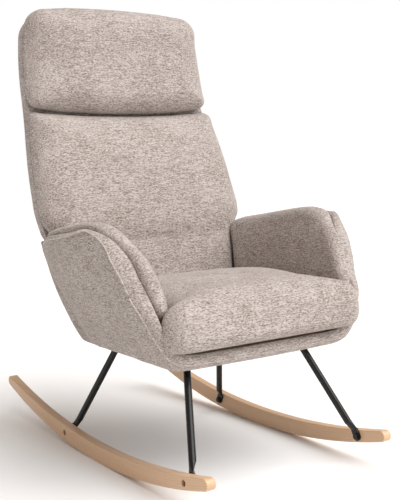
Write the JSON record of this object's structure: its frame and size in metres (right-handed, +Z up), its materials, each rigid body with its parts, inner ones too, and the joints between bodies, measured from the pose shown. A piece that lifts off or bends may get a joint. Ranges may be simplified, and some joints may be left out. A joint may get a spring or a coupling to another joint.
{
  "type": "rocking chair",
  "caption": "High-back upholstered rocking chair with padded arms, black steel tube legs and curved solid-wood rockers.",
  "frame": {"origin": "on the floor, in the middle of the chair's box seen from above", "axes": "+Z up, the chair faces -Y, +X is the sitter's left"},
  "size_m": [0.6768, 0.96, 1.078],
  "materials": {
    "upholstery": "matte",
    "ash": "satin",
    "black_steel": "satin",
    "black_fastener": "satin",
    "zinc_fastener": "satin",
    "plywood": "matte",
    "elastic_strap": "matte",
    "lining": "matte"
  },
  "bodies": {
    "root": {"arm_bolts": "zinc_fastener", "back_bottom_rail": "plywood", "back_brackets": "black_steel", "back_left_stile": "plywood", "back_middle_rail": "plywood", "back_right_stile": "plywood", "back_shell": "upholstery", "back_top_rail": "plywood", "back_webbing": "elastic_strap", "dust_cover": "lining", "headrest_pad": "upholstery", "left_arm_pad": "upholstery", "left_arm_panel": "plywood", "left_arm_shell": "upholstery", "left_front_leg": "black_steel", "left_leg_plate": "black_steel", "left_rear_leg": "black_steel", "left_rocker": "ash", "lumbar_pad": "upholstery", "plate_bolts": "black_fastener", "plate_tee_nuts": "zinc_fastener", "rear_panel": "upholstery", "right_arm_pad": "upholstery", "right_arm_panel": "plywood", "right_arm_shell": "upholstery", "right_front_leg": "black_steel", "right_leg_plate": "black_steel", "right_rear_leg": "black_steel", "right_rocker": "ash", "rocker_bolts": "black_fastener", "rocker_sleeve_nuts": "black_fastener", "rocker_washers": "black_fastener", "seat_cushion": "upholstery", "seat_front_rail": "plywood", "seat_left_rail": "plywood", "seat_rear_rail": "plywood", "seat_right_rail": "plywood", "seat_shell": "upholstery", "seat_webbing": "elastic_strap"}
  },
  "joints": []
}
